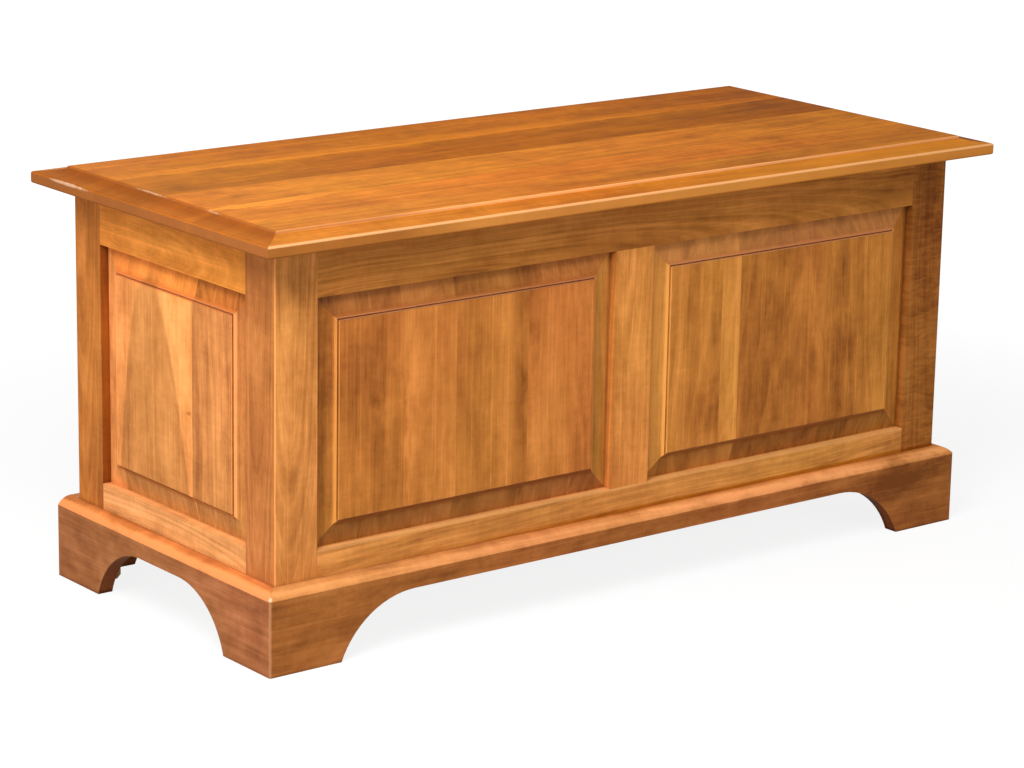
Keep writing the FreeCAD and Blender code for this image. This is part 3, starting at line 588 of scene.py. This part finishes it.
# Each bevel is made darker or paler by the way it faces; on the left panel, the bevel that faces forward is
# darkened as painted shade.
BEVEL_TINTS = {  # the way a bevel faces, how its colour is laid and the colour
    "front_left_panel": [
        ("X", -1, "MULTIPLY", "#f8ffff"), ("Z", 1, "MULTIPLY", "#f0f8ff"), ("Z", -1, "MULTIPLY", "#e0e8ff"),
        ("X", 1, "MULTIPLY", "#f2ffff"), ("X", 1, "SCREEN", "#403a0c")],
    "front_right_panel": [
        ("Z", -1, "MULTIPLY", "#e0e5ed"), ("Z", 1, "SCREEN", "#503829"), ("X", -1, "SCREEN", "#48381b")],
    "left_panel": [
        ("Z", 1, "MULTIPLY", "#fff0cc"), ("Y", -1, "MULTIPLY", "#e6dfda"), ("Z", -1, "SCREEN", "#20301c")],
}
panels = sorted(name for name in nodes if name.endswith("_panel"))
for number, name in enumerate(panels):
    axes = frame_axes(name, "Z")
    across, into, along = middle_along(name, axes)
    low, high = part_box(name)
    left, right = low["XYZ".index(axes[0])], high["XYZ".index(axes[0])]
    third = (right - left) / 3
    plain = (PLAIN_PANEL, [(left + third * edge, tone) for edge, tone in PLAIN_STAVES], [])
    code, staves, smudges = PANELS.get(name, plain)
    seed = [number * step for step in PANEL_SEED]
    heart = (across + PANEL_HEART_ASIDE, into + PANEL_HEART_BEHIND, along)
    panel = wood("stained maple " + name, axes, code, seed, heart, staves=staves, smudges=smudges, glaze_and_shade=0.3)
    tree = panel.node_tree
    normal = tree.nodes["normal"]
    for axis, towards, blend, bevel_code in BEVEL_TINTS.get(name, []):
        bevel = add(tree, "ShaderNodeMapRange", None,
                    {"Value": normal.outputs[axis], "From Min": towards * BEVEL_SLOPE[0],
                     "From Max": towards * BEVEL_SLOPE[1]})
        tint(panel, [bevel], bevel_code, blend)
    # The upward-facing part of each hollow near the field is lightened: a painted highlight.
    crest = add(tree, "ShaderNodeMapRange", None,
                {"Value": normal.outputs["Z"], "From Min": CREST_SLOPE[0], "From Max": CREST_SLOPE[1],
                 "To Max": 0.45})
    tint(panel, [crest], "#cd9368")
    finish_node(name, panel)

# The heartwood's arch is a parabola with an axis that leans back a little, on the rear one of two staves.
ARCH_CREST = 0.455  # height of its crest
ARCH_SPREAD = 0.025  # square of its half width for each metre below the crest
ARCH_LEAN = 0.055
ARCH_AXIS = 0.048  # where the axis is at the foot of the field
ARCH_FOOT = 0.18
ARCH_EDGE = (-0.0001, 0.0004)  # the soft edge of the arch, in squares of the half width
panel = nodes["left_panel"].data.materials[0]
tree = panel.node_tree
depth, height = [tree.nodes["place"].outputs[axis] for axis in "YZ"]
axis_depth = add(tree, "ShaderNodeMath", {"operation": "MULTIPLY_ADD"},
                 {0: height, 1: ARCH_LEAN, 2: ARCH_AXIS - ARCH_FOOT * ARCH_LEAN})
aside = add(tree, "ShaderNodeMath", {"operation": "SUBTRACT"}, {0: depth, 1: axis_depth})
aside_squared = add(tree, "ShaderNodeMath", {"operation": "MULTIPLY"}, {0: aside, 1: aside})
half_width_squared = add(tree, "ShaderNodeMath", {"operation": "MULTIPLY_ADD"},
                         {0: height, 1: -ARCH_SPREAD, 2: ARCH_SPREAD * ARCH_CREST})
within = add(tree, "ShaderNodeMath", {"operation": "SUBTRACT"}, {0: half_width_squared, 1: aside_squared})
inside = add(tree, "ShaderNodeMapRange", None,
             {"Value": within, "From Min": ARCH_EDGE[0], "From Max": ARCH_EDGE[1]})
rear_stave = add(tree, "ShaderNodeMath", {"operation": "GREATER_THAN"}, {0: depth, 1: STAVE_JOINT})
heartwood = add(tree, "ShaderNodeMath", {"operation": "MULTIPLY"}, {0: inside, 1: rear_stave})
sapwood = add(tree, "ShaderNodeMath", {"operation": "SUBTRACT"}, {0: rear_stave, 1: heartwood})
front_stave = add(tree, "ShaderNodeMath", {"operation": "SUBTRACT"}, {0: 1.0, 1: rear_stave})
for mask, code in ((heartwood, "#dcd6c8"), (sapwood, "#fff4e8"), (front_stave, "#ece9e0")):
    tint(panel, [mask], code, "MULTIPLY")


# ---- Base
# Maple boards mitred at the front corners and glued round the frames over glue blocks, their top edge rounded
# over and their lower edge sawn to an arch. Their upright faces are darkened, so that the rounding on top
# stays pale, as painted shade and light from above, and their arrises carry a painted highlight.
BASE_BOARDS = {  # axes, colour, the painted shade on the upright faces, the painted highlight on the arrises, smudges
    "base_front": ("ZYX", "#c58048", "#d2c2ab", 0.3, [
        (0.09, 0.49, 0.05, 0.12, -0.3), (0.06, -0.46, 0.05, 0.06, -0.15), (0.05, 0.45, 0.12, 0.3, -0.3),
        (0.107, 0.38, 0.012, 0.4, 0.35)]),
    "base_back": ("ZYX", "#bc7943", "#d4c5ab", 0.6, []),
    "base_left": ("ZXY", "#ca793c", "#d3dcff", 0.7, [(0.05, -0.22, 0.06, 0.03, -0.2)]),
    "base_right": ("ZXY", "#bf783e", "#d4cfd4", 0.6, []),
}
BASE_HEART = (0.02, 0.1, 0.0)
FACES_OUT = (0.95, 0.02)  # how far up a face points where its painted shade starts and is full
LEDGE_SHADE_AND_STAIN = (-0.238, -0.230)  # depths where the painted shade and stain gathered on the base's top start and are full
PALE_CORNER = (-0.5875, -0.2480, 0.1030)
CORNER_MARKS = [  # half sizes, where the mask starts and is full, its strength, colour
    ((0.0025, 0.0025, 1.0), 0.0, 0.8, 0.5, "#e0a476"),  # the upright arris, lightened: a painted highlight
    ((0.006, 0.006, 0.006), 0.2, 0.6, 0.8, "#ecd0ae"),  # a pale spot at its top
]
for number, (name, (axes, code, upright_shade, arris_highlight, smudges)) in enumerate(BASE_BOARDS.items()):
    board = wood("stained maple " + name, axes, code, (number * 3.1, number * 1.1, 2.0), BASE_HEART,
                 bands=0.6, streaks=0.6, blotches=1.3, mottle=0.5, smudges=smudges, glaze_and_shade=1.0, arris_highlight=arris_highlight)
    tree = board.node_tree
    # Upright faces are darkened against the rounding on top: painted shade.
    upright = add(tree, "ShaderNodeMapRange", None,
                  {"Value": tree.nodes["normal"].outputs["Z"], "From Min": FACES_OUT[0],
                   "From Max": FACES_OUT[1]})
    tint(board, [upright], upright_shade, "MULTIPLY")
    # A darker line next to the wall: painted shade with gathered stain.
    if name == "base_front":
        shade_and_stain_line(board, "Y", LEDGE_SHADE_AND_STAIN, "#e4cfa0")
    # A pale line up the front corner's arris, a painted highlight, and a pale spot at its top.
    for half_sizes, start, full, strength, pale_code in CORNER_MARKS:
        pale_marks = add(tree, "ShaderNodeMapRange", None,
                   {"Value": near_spot(tree, PALE_CORNER, half_sizes), "From Min": start, "From Max": full,
                    "To Max": strength})
        tint(board, [pale_marks], pale_code)
    finish_node(name, board)


# ---- Cleats, bearer and glue blocks
# Sawn pine, glued and left bare, as it never shows with the lid down. It is pale and dull, with strong
# straight rings.
PINE_COLOUR = "#d8ae74"
PINE_HEART_BEHIND = 0.06
PINE = {"front_cleat": "YZX", "back_cleat": "YZX", "left_cleat": "XZY", "right_cleat": "XZY",
        "bottom_bearer": "XZY", "base_corner_blocks": "XYZ"}
for number, (name, axes) in enumerate(PINE.items()):
    across, into, along = middle_along(name, axes)
    pine = wood("sawn pine " + name, axes, PINE_COLOUR, (number * 3.1, number * 1.1, 2.0),
                (across, into + PINE_HEART_BEHIND, along), spread=0.35, rings=1.6, bands=0.6, blotches=0.5,
                mottle=0.2, curl=0.0, glaze_and_shade=0.2, arris_highlight=0.3, lacquer=0.0)
    finish_node(name, pine)


# ---- Cedar bottom
# Tongued and grooved boards of aromatic red cedar, planed, laid loose and left bare: dull rosy heartwood with
# cream streaks of sapwood and small dark knots.
CEDAR = {  # colour, and each knot's place along the board and radius
    "bottom_board_1": ("#c98562", [(-0.41, 0.011), (0.13, 0.008)]),
    "bottom_board_2": ("#c07a58", [(-0.16, 0.009), (0.44, 0.012)]),
    "bottom_board_3": ("#cc8c66", [(0.30, 0.010)]),
    "bottom_board_4": ("#bd7856", [(-0.33, 0.008), (0.02, 0.013)]),
}
KNOTS_ASIDE = (0.02, -0.025)  # how far each knot is from the board's middle line
KNOT_PARTS = [  # half sizes across and along, in radii, and strength
    (2.2, 4.0, -0.3),  # the grain that swells round the knot
    (1.0, 1.0, -1.4),  # its dark core
]
CEDAR_HEART_ABOVE = -0.05  # the tree's middle lies below the boards
SAPWOOD = "#e2bd8c"
SAPWOOD_STREAK = (1.3, 24.0, 6.0)  # in a metre: streaks 42 mm wide and 770 mm long
SAPWOOD_LEVELS = (0.60, 0.68)
for number, (name, (code, knots)) in enumerate(CEDAR.items()):
    across, into, along = middle_along(name, "YZX")
    smudges = []
    for shift, (knot_along, radius) in zip(KNOTS_ASIDE, knots):
        for wide, long, strength in KNOT_PARTS:
            smudges.append((across + shift, knot_along, radius * wide, radius * long, strength))
    board = wood("red cedar " + name, "YZX", code, (number * 2.3, number * 4.1, 7.0),
                 (across + 0.01 * number, into + CEDAR_HEART_ABOVE, along), spread=0.4, rings=1.5, bands=1.3,
                 blotches=0.7, curl=0.0, smudges=smudges, glaze_and_shade=0.3, arris_highlight=0.2, lacquer=0.0)
    tree = board.node_tree
    run = add(tree, "ShaderNodeMapping", None,
              {"Vector": tree.nodes["coords"].outputs["Object"], "Location": (number * 5.0, 0.0, 0.0),
               "Scale": SAPWOOD_STREAK})
    streak = add(tree, "ShaderNodeTexNoise", None, {"Vector": run, "Scale": 1.0, "Detail": 1.0})
    sapwood = add(tree, "ShaderNodeMapRange", None,
                  {"Value": streak, "From Min": SAPWOOD_LEVELS[0], "From Max": SAPWOOD_LEVELS[1],
                   "To Max": 0.8})
    tint(board, [sapwood], SAPWOOD)
    finish_node(name, board)


# ---- Battens
# Two maple battens that keep the slab flat, screwed across the lid's boards underneath by four screws each.
# They are planed, and stained and lacquered with it.
BATTEN_COLOUR = "#b9722e"
BATTENS = {"lid_batten_left": -0.31, "lid_batten_right": 0.31}  # where each one's tree has its middle
BATTEN_HEART_HEIGHT = 0.45
for number, (name, heart_along) in enumerate(BATTENS.items()):
    seed = (number * 6.1, 3.3, 1.0)
    heart = (heart_along, BATTEN_HEART_HEIGHT, 0.0)
    finish_node(name, wood("stained maple " + name, "XZY", BATTEN_COLOUR, seed, heart))


# ---- Screws
# Countersunk wood screws with a single slot and a rolled thread: zinc-plated steel through the battens, brass
# in the hinges. Each is driven by hand, so no two slots stop at the same angle.
BATTEN_SCREW = (0.0078, 0.0040, 0.033)  # head, shank and length
HINGE_SCREW = (0.0068, 0.0035, 0.017)
SCREW_SIDES = 24
CORE_SHARE = 0.8  # the core under the thread, of the shank
POINT_SHARE = 0.1  # the flat on the point, of the core
RIM_ROUND = 0.03  # the rounding of the head's rim, of the head
SLOT_SHARE = 0.09  # half the slot's width, of the head
SLOT_DEPTH = 0.10  # of the head
SLOT_TAPER = (0.9, 0.72, 1.0)
THREAD_PITCH = 0.0016
THREADED_SHARE = 0.6  # of the length
THREAD_HEIGHT = 0.14  # of the shank
THREAD_AXIS = 0.38  # how far the thread's ridge is from the screw's axis, of the shank
THREAD_STEPS = 12
SMOOTH_UNDER = math.radians(35)
MERGE_UNDER = 1e-6
BATTEN_LINES = (-0.300, 0.300)
BATTEN_ROWS = (-0.142, -0.044, 0.054, 0.152)
BATTEN_UNDERSIDE = 0.518
HINGES = (-0.430, 0.0, 0.430)
FLANGE_HOLES = (-0.030, 0.0, 0.030)
FLANGE_FACE = (0.211, 0.5107)  # depth and height of the body leaf's screw heads
LEAF_HOLES = ((0.204, 0.030), (0.228, 0.0225))  # depth, and distance from the hinge's middle
LEAF_FACE = 0.536
BATTEN_SCREWS = [(x, y, BATTEN_UNDERSIDE) for x in BATTEN_LINES for y in BATTEN_ROWS]
FLANGE_SCREWS = [(x + shift, *FLANGE_FACE) for x in HINGES for shift in FLANGE_HOLES]
LID_SCREWS = [(x + side * spread, y, LEAF_FACE) for x in HINGES for side in (-1, 1)
              for y, spread in LEAF_HOLES]


def pick(piece, kind, wanted):
    """In edit mode, selects only the faces or edges whose middle, and normal if it is a face, are wanted."""
    bpy.ops.mesh.select_mode(type=kind)
    bpy.ops.mesh.select_all(action="DESELECT")
    mesh = bmesh.from_edit_mesh(piece.data)
    for item in (mesh.faces if kind == "FACE" else mesh.edges):
        corners = [corner.co for corner in item.verts]
        middle = sum(corners, Vector()) / len(corners)
        item.select_set(wanted(middle, item.normal if kind == "FACE" else None))
    mesh.select_flush_mode()
    bmesh.update_edit_mesh(piece.data)


def wood_screw(size):
    """A screw that stands on its head at the origin, its point upward."""
    head, shank, length = size
    neck = (head - shank) / 2
    core = CORE_SHARE * shank / head
    bpy.ops.object.select_all(action="DESELECT")
    bpy.ops.mesh.primitive_cylinder_add(vertices=SCREW_SIDES, radius=head / 2, depth=neck,
                                        location=(0, 0, neck / 2))
    screw = bpy.context.object
    bpy.ops.object.transform_apply(location=True, rotation=True, scale=True)
    bpy.ops.object.mode_set(mode="EDIT")
    pick(screw, "FACE", lambda middle, normal: normal.z > 0.9)
    bpy.ops.transform.resize(value=(core, core, 1.0), center_override=(0, 0, neck))
    for rise, share in ((length - neck - shank, 1.0), (shank, POINT_SHARE)):
        bpy.ops.mesh.extrude_region_move(TRANSFORM_OT_translate={"value": (0, 0, rise)})
        bpy.ops.transform.resize(value=(share, share, 1.0), center_override=(0, 0, length))
    pick(screw, "EDGE", lambda middle, normal: middle.z < MERGE_UNDER)
    bpy.ops.mesh.bevel(offset=head * RIM_ROUND, segments=2, affect="EDGES")
    for side in (-1, 1):
        pick(screw, "FACE", lambda middle, normal: normal.z < -0.99)
        bpy.ops.mesh.bisect(plane_co=(side * head * SLOT_SHARE, 0, 0), plane_no=(1, 0, 0))
    pick(screw, "FACE", lambda middle, normal: normal.z < -0.99 and abs(middle.x) < head * SLOT_SHARE * 0.5)
    bpy.ops.mesh.extrude_region_move(TRANSFORM_OT_translate={"value": (0, 0, head * SLOT_DEPTH)})
    bpy.ops.transform.resize(value=SLOT_TAPER, center_override=(0, 0, head * SLOT_DEPTH))
    bpy.ops.object.mode_set(mode="OBJECT")
    bpy.ops.object.select_all(action="DESELECT")

    turns = int((length * THREADED_SHARE) / THREAD_PITCH)
    start = length - shank - turns * THREAD_PITCH
    bpy.ops.mesh.primitive_circle_add(vertices=3, radius=THREAD_HEIGHT * shank, fill_type="NOTHING",
                                      location=(THREAD_AXIS * shank, 0, start), rotation=(math.pi / 2, 0, 0))
    thread = bpy.context.object
    bpy.ops.object.transform_apply(location=True, rotation=True, scale=True)
    winding = thread.modifiers.new("winding", "SCREW")
    winding.axis = "Z"
    winding.steps = winding.render_steps = THREAD_STEPS
    winding.screw_offset = THREAD_PITCH
    winding.iterations = turns
    bpy.ops.object.modifier_apply(modifier="winding")
    bpy.ops.object.mode_set(mode="EDIT")
    bpy.ops.mesh.select_all(action="SELECT")
    bpy.ops.mesh.remove_doubles(threshold=MERGE_UNDER)
    bpy.ops.mesh.fill_holes(sides=3)
    bpy.ops.mesh.normals_make_consistent(inside=False)
    bpy.ops.object.mode_set(mode="OBJECT")
    screw.select_set(True)
    bpy.context.view_layer.objects.active = screw
    bpy.ops.object.join()
    bpy.ops.object.shade_smooth_by_angle(angle=SMOOTH_UNDER)
    return screw


def drive(name, size, tilt, places):
    """Copies one screw to each place, tilted from upright, its slot turned at random, and joins them."""
    pattern = wood_screw(size)
    copies = []
    for place in places:
        copy = pattern.copy()
        copy.data = pattern.data.copy()
        bpy.context.collection.objects.link(copy)
        turned = Matrix.Rotation(chance.uniform(0, math.pi), 4, "Z")
        copy.matrix_world = Matrix.Translation(place) @ Matrix.Rotation(tilt, 4, "X") @ turned
        copies.append(copy)
    bpy.data.objects.remove(pattern)
    bpy.ops.object.select_all(action="DESELECT")
    for copy in copies:
        copy.select_set(True)
    bpy.context.view_layer.objects.active = copies[0]
    bpy.ops.object.transform_apply(location=True, rotation=True, scale=True)
    bpy.ops.object.join()
    copies[0].name = name
    bpy.ops.object.select_all(action="DESELECT")
    return copies[0]


METAL_PATCH = 90.0  # in a metre: rubbed and dull patches 11 mm wide
SCRATCH = (300.0, 2500.0, 2500.0)  # 3.3 mm long and 0.4 mm wide: real ones are too fine to show
SCRATCH_DEPTH = 0.0001
GRIME_AND_SHADE = "#2c241c"
GRIME_AND_SHADE_REACH = 0.0015
GRIME_AND_SHADE_LEVELS = (0.35, 0.8)  # how open a place is where the dirt and painted shade are thickest and where they end
GRIME_AND_SHADE_STRENGTH = 0.85
TARNISH_FADE = 0.12  # rubbed turns to dull this far on either side of the tarnish level
GLOSS_SWING = (-0.08, 0.12)  # how much smoother and rougher than usual the patches are


def metal(name, bright, dull, roughness, tarnish, scratches=0.15):
    """Bare or plated metal: it mirrors softly, in one colour where it is rubbed and another where it has
    dulled, with fine scratches, and its slots and corners darkened by ambient occlusion, dirt together with
    painted shade. Tarnish is where dull takes over."""
    material = new_material(name)
    tree = material.node_tree
    coords = add(tree, "ShaderNodeTexCoord")
    patches = add(tree, "ShaderNodeTexNoise", None,
                  {"Vector": coords.outputs["Object"], "Scale": METAL_PATCH, "Detail": 3.0, "Roughness": 0.6})
    colour = add(tree, "ShaderNodeValToRGB", None, {"Fac": patches})
    levels = (tarnish - TARNISH_FADE, tarnish + TARNISH_FADE)
    for stop, level, code in zip(colour.color_ramp.elements, levels, (bright, dull)):
        stop.position = level
        stop.color = linear(code)
    gloss = add(tree, "ShaderNodeMapRange", None,
                {"Value": patches, "From Min": NOISE_SWING[0], "From Max": NOISE_SWING[1],
                 "To Min": roughness + GLOSS_SWING[0], "To Max": roughness + GLOSS_SWING[1]})
    stretched = add(tree, "ShaderNodeMapping", None, {"Vector": coords.outputs["Object"], "Scale": SCRATCH})
    lines = add(tree, "ShaderNodeTexNoise", None, {"Vector": stretched, "Scale": 1.0, "Detail": 2.0})
    grooves = add(tree, "ShaderNodeBump", None,
                  {"Strength": scratches, "Distance": SCRATCH_DEPTH, "Height": lines})
    # Ambient occlusion darkens the slots and corners: dirt together with painted shade.
    shelter = add(tree, "ShaderNodeAmbientOcclusion", {"samples": 6}, {"Distance": GRIME_AND_SHADE_REACH})
    grime_and_shade = add(tree, "ShaderNodeMapRange", None,
                {"Value": shelter.outputs["AO"], "From Min": GRIME_AND_SHADE_LEVELS[0], "From Max": GRIME_AND_SHADE_LEVELS[1],
                 "To Min": GRIME_AND_SHADE_STRENGTH, "To Max": 0.0})
    soiled_and_shaded = add(tree, "ShaderNodeMix", {"data_type": "RGBA", "blend_type": "MULTIPLY"},
                 {"Factor": grime_and_shade, "A": colour, "B": linear(GRIME_AND_SHADE)})
    surface = add(tree, "ShaderNodeBsdfPrincipled", None,
                  {"Base Color": soiled_and_shaded.outputs["Result"], "Metallic": 1.0, "Roughness": gloss,
                   "Normal": grooves})
    add(tree, "ShaderNodeOutputMaterial", None, {"Surface": surface})
    return material


chance = random.Random(7)
# Zinc is cool and nearly white, greyer in patches; brass is yellow, and browner where it has tarnished.
zinc = metal("bright zinc-plated steel", "#c9ccd0", "#9a9b9a", 0.32, 0.55)
brass = metal("drawn brass", "#d9b266", "#a27c3c", 0.30, 0.56)
SCREWS = {  # what they replace, size, tilt, places, body, slot of the record, plating
    "slotted_batten_screws": ("batten_screws", BATTEN_SCREW, 0.0, BATTEN_SCREWS, "lid", "screw_steel", zinc),
    "slotted_flange_screws": ("hinge_body_screws", HINGE_SCREW, -math.pi / 2, FLANGE_SCREWS, "carcase",
                              "screw_brass", brass),
    "slotted_lid_screws": ("hinge_lid_screws", HINGE_SCREW, 0.0, LID_SCREWS, "lid", "screw_brass", brass),
}
for name, (node, size, tilt, places, body, slot, plating) in SCREWS.items():
    screws = drive(name, size, tilt, places)
    screws.data.materials.clear()
    screws.data.materials.append(plating)
    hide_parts(node)
    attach(screws, body)


# ---- Hinges
# Three torsion hinges. The leaves are pressed steel with an oil-rubbed bronze finish, near black with copper
# showing where it is rubbed. The pins are ground steel, grey and the smoothest of the metals here, and the
# sleeves that grip them are sintered bronze, which is dull and grainy.
for name in nodes:
    if name.startswith("hinge_") and name.endswith("_leaf"):
        finish_node(name, metal("oil-rubbed bronze " + name, "#54402f", "#2f2722", 0.42, 0.42, 0.25))
finish_node("hinge_pins", metal("ground steel", "#b4b4b2", "#8c8a86", 0.25, 0.55))
finish_node("hinge_friction_sleeves", metal("sintered bronze", "#a8793f", "#7c5730", 0.5, 0.5, 0.5))


# ---- Bumpers
# Two discs of pressed wool felt glued to the front rim, on which the closed lid rests: brown and flecked by
# their fibres, with no shine but a faint nap.
WOOL = 1800.0  # in a metre: tufts 0.6 mm wide, as real fibres, 0.03 mm, are too fine to show
NAP_DEPTH = 0.0004
FLECK_LEVELS = (0.35, 0.65)
FELT_DARK = "#4e4034"
FELT_PALE = "#7d6a58"
felt = new_material("pressed wool felt")
tree = felt.node_tree
coords = add(tree, "ShaderNodeTexCoord")
wool = add(tree, "ShaderNodeTexNoise", None,
           {"Vector": coords.outputs["Object"], "Scale": WOOL, "Detail": 4.0, "Roughness": 0.7,
            "Distortion": 1.5})
fleck = add(tree, "ShaderNodeValToRGB", None, {"Fac": wool})
for stop, level, code in zip(fleck.color_ramp.elements, FLECK_LEVELS, (FELT_DARK, FELT_PALE)):
    stop.position = level
    stop.color = linear(code)
nap = add(tree, "ShaderNodeBump", None, {"Strength": 0.6, "Distance": NAP_DEPTH, "Height": wool})
surface = add(tree, "ShaderNodeBsdfPrincipled", None,
              {"Base Color": fleck, "Roughness": 0.95, "Specular IOR Level": 0.1, "Sheen Weight": 0.3,
               "Sheen Roughness": 0.5, "Normal": nap})
add(tree, "ShaderNodeOutputMaterial", None, {"Surface": surface})
finish_node("lid_bumpers", felt)
